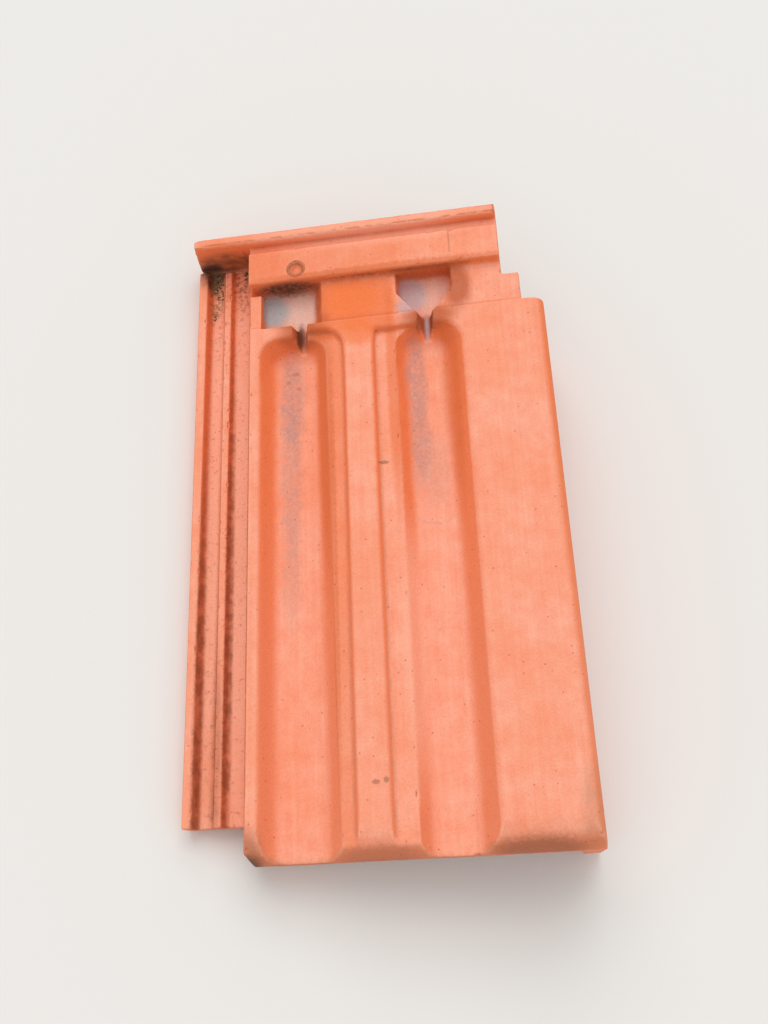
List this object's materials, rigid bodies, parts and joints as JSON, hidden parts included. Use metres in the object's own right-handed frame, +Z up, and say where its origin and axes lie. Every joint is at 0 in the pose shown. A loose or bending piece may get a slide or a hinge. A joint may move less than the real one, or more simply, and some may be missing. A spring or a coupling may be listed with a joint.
{
  "type": "clay roof tile",
  "caption": "Interlocking clay verge roof tile with twin water troughs, a ribbed side lap, a raised head lip and a down-turned edge flange.",
  "frame": {"origin": "on the ground under the middle of the tile's bounding box, as it lies unheld", "axes": "+Z up, +Y from the foot to the head, +X towards the verge flange; the face is tilted about 14.4 degrees because the tile lies on its side lap and on the flange's lower edge"},
  "size_m": [0.2502, 0.404, 0.0907],
  "materials": {
    "fired_clay": "matte unglazed terracotta"
  },
  "bodies": {
    "root": {"roof_tile": "fired_clay"}
  },
  "joints": []
}
